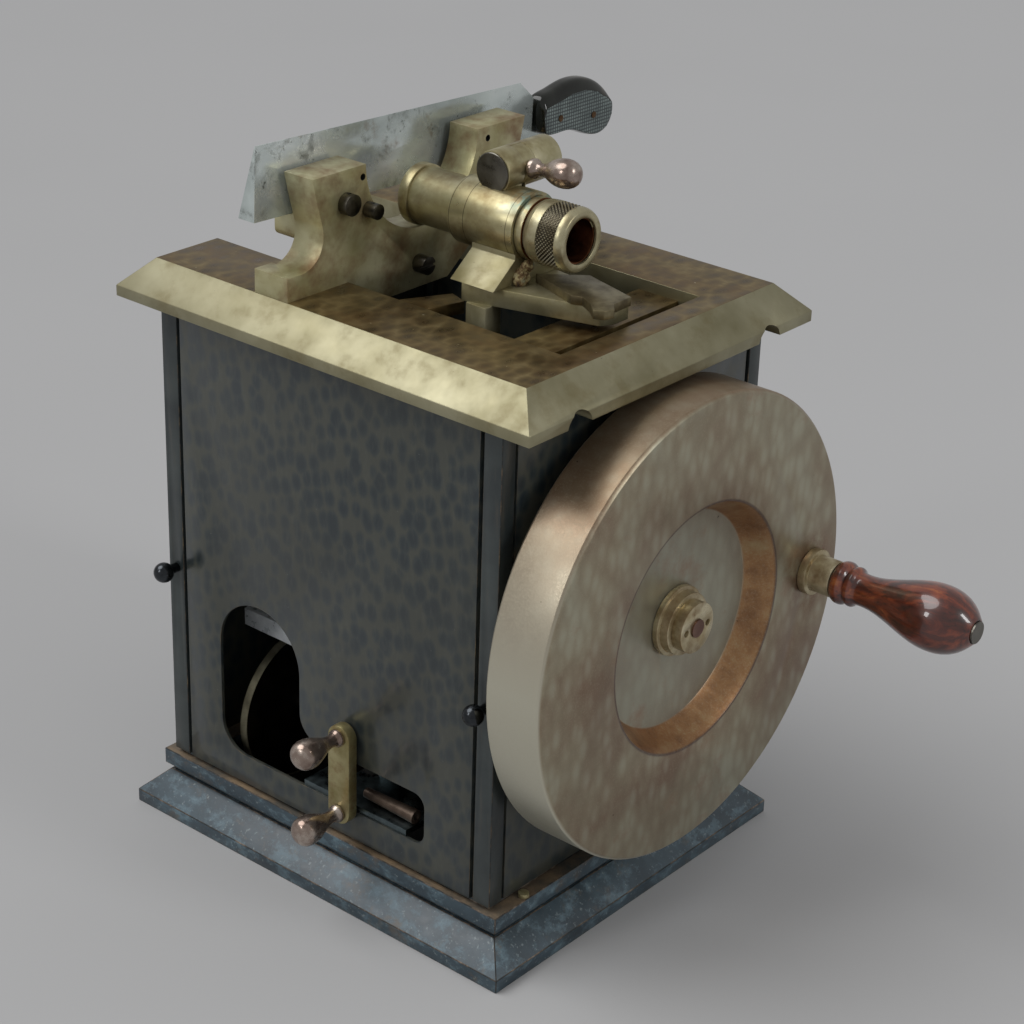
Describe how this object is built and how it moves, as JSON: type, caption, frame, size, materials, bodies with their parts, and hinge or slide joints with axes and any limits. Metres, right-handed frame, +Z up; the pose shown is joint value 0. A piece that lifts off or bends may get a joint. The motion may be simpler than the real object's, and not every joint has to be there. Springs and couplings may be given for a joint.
{
  "type": "sledge microtome",
  "caption": "Box-type microtome: brass-topped dark cabinet with a fixed upright knife, a clamped specimen tube raised by a side flywheel, and a winding crank in front.",
  "frame": {"origin": "centre of the underside of the base, on the surface the instrument stands on", "axes": "+Z up, +X towards the flywheel side, -Y towards the front panel with the winding crank"},
  "size_m": [0.3371, 0.2682, 0.3323],
  "materials": {
    "black_wood": "worn gloss black paint",
    "cabinet_paint": "dark blue-grey metal, glossy, with overlapping tool spots",
    "brass": "aged, satin",
    "dark_brass": "tarnished brown",
    "iron": "dark, worn",
    "steel": "bright, ground",
    "old_steel": "dark and stained",
    "grip_wood": "dark brown, polished",
    "blade": "polished with stains"
  },
  "bodies": {
    "cabinet": {"base_board": "black_wood", "base_rail_front": "black_wood", "base_rail_rear": "black_wood", "base_rail_left": "black_wood", "base_rail_right": "black_wood", "base_step": "black_wood", "base_screw_front": "brass", "base_screw_rear": "brass", "corner_post_front_left": "cabinet_paint", "corner_post_front_right": "cabinet_paint", "corner_post_rear_left": "cabinet_paint", "corner_post_rear_right": "cabinet_paint", "front_panel": "cabinet_paint", "rear_panel": "cabinet_paint", "side_panel_drive": "cabinet_paint", "side_panel_plain": "cabinet_paint", "top_plate": "brass", "ledge_straight": "brass", "ledge_slanted": "brass", "guide_rod_front": "steel", "guide_rod_rear": "steel", "main_bearing": "brass", "crank_bracket": "brass", "tapered_spindle": "dark_brass"},
    "stand": {"knife_stand": "brass"},
    "stand_screw": {"stand_screw": "old_steel"},
    "clamp_screw_large": {"knife_screw_large": "dark_brass"},
    "clamp_screw_small": {"knife_screw_small": "dark_brass"},
    "knife": {"knife_blade": "blade", "knife_handle": "grip_wood", "knife_pin_1": "brass", "knife_pin_2": "brass"},
    "slide": {"slide_frame": "iron"},
    "holder": {"feed_carriage": "brass", "feed_rack": "steel", "holder_bracket": "brass", "holder_block": "brass", "pointer_plate": "brass", "clamp_body": "brass"},
    "clamp_lever": {"clamp_bolt": "old_steel", "clamp_lever": "brass"},
    "specimen_tube": {"object_tube": "brass", "tube_ring": "brass"},
    "tube_nut": {"knurled_nut": "brass"},
    "feed": {"feed_screw": "steel", "toothed_wheel": "iron"},
    "drive_wheel": {"main_shaft": "steel", "crank_disc": "iron", "flywheel": "iron", "hub_flange": "brass", "hub_nut": "old_steel", "handle_ferrule": "brass", "grip_spindle": "steel"},
    "grip": {"wood_grip": "grip_wood"},
    "winding_crank": {"reset_pinion": "steel", "crank_bar": "brass", "crank_handle_upper": "dark_brass", "crank_handle_lower": "dark_brass"},
    "knob_left": {"panel_knob_left": "brass"},
    "knob_right": {"panel_knob_right": "brass"}
  },
  "joints": [
    {"name": "stand_slide", "type": "slide", "parent": "cabinet", "child": "stand", "axis": [1, 0, 0], "range_m": [-0.055, 0]},
    {"name": "stand_screw_turn", "type": "hinge", "parent": "stand", "child": "stand_screw", "pos_m": [-0.0245, -0.0022, 0.2677], "axis": [1, 0, 0], "continuous": true},
    {"name": "large_screw_turn", "type": "hinge", "parent": "stand", "child": "clamp_screw_large", "pos_m": [-0.0245, -0.0476, 0.3052], "axis": [1, 0, 0], "continuous": true},
    {"name": "small_screw_turn", "type": "hinge", "parent": "stand", "child": "clamp_screw_small", "pos_m": [-0.0245, -0.0342, 0.2996], "axis": [1, 0, 0], "continuous": true},
    {"name": "knife_lift", "type": "slide", "parent": "stand", "child": "knife", "axis": [0, 0, 1], "range_m": [0, 0.05]},
    {"name": "slide_lift", "type": "slide", "parent": "cabinet", "child": "slide", "axis": [0, 0, 1], "range_m": [0, 0.05]},
    {"name": "holder_feed", "type": "slide", "parent": "slide", "child": "holder", "axis": [1, 0, 0], "range_m": [-0.006, 0.006]},
    {"name": "lever_turn", "type": "hinge", "parent": "holder", "child": "clamp_lever", "pos_m": [0.019, 0, 0.319], "axis": [0, -1, 0], "range_deg": [-5, 30]},
    {"name": "tube_slide", "type": "slide", "parent": "holder", "child": "specimen_tube", "axis": [1, 0, 0], "range_m": [0, 0.022]},
    {"name": "nut_turn", "type": "hinge", "parent": "specimen_tube", "child": "tube_nut", "pos_m": [0.052, 0, 0.2985], "axis": [1, 0, 0], "continuous": true},
    {"name": "feed_turn", "type": "hinge", "parent": "slide", "child": "feed", "pos_m": [-0.059, -0.042, 0.052], "axis": [1, 0, 0], "continuous": true},
    {"name": "wheel_turn", "type": "hinge", "parent": "cabinet", "child": "drive_wheel", "pos_m": [0.12, 0, 0.1453], "axis": [1, 0, 0], "continuous": true},
    {"name": "grip_spin", "type": "hinge", "parent": "drive_wheel", "child": "grip", "pos_m": [0.18, 0.0833, 0.1425], "axis": [1, 0, 0], "continuous": true},
    {"name": "winding_turn", "type": "hinge", "parent": "cabinet", "child": "winding_crank", "pos_m": [0.015, -0.09, 0.065], "axis": [0, 1, 0], "range_deg": [-43, 43]},
    {"name": "knob_left_turn", "type": "hinge", "parent": "cabinet", "child": "knob_left", "pos_m": [-0.0925, -0.0945, 0.1265], "axis": [0, 1, 0], "continuous": true},
    {"name": "knob_right_turn", "type": "hinge", "parent": "cabinet", "child": "knob_right", "pos_m": [0.0925, -0.0945, 0.1265], "axis": [0, 1, 0], "continuous": true}
  ],
  "couplings": [
    {"joint": "winding_turn", "follows": "holder_feed", "rad_per_m": 125}
  ]
}
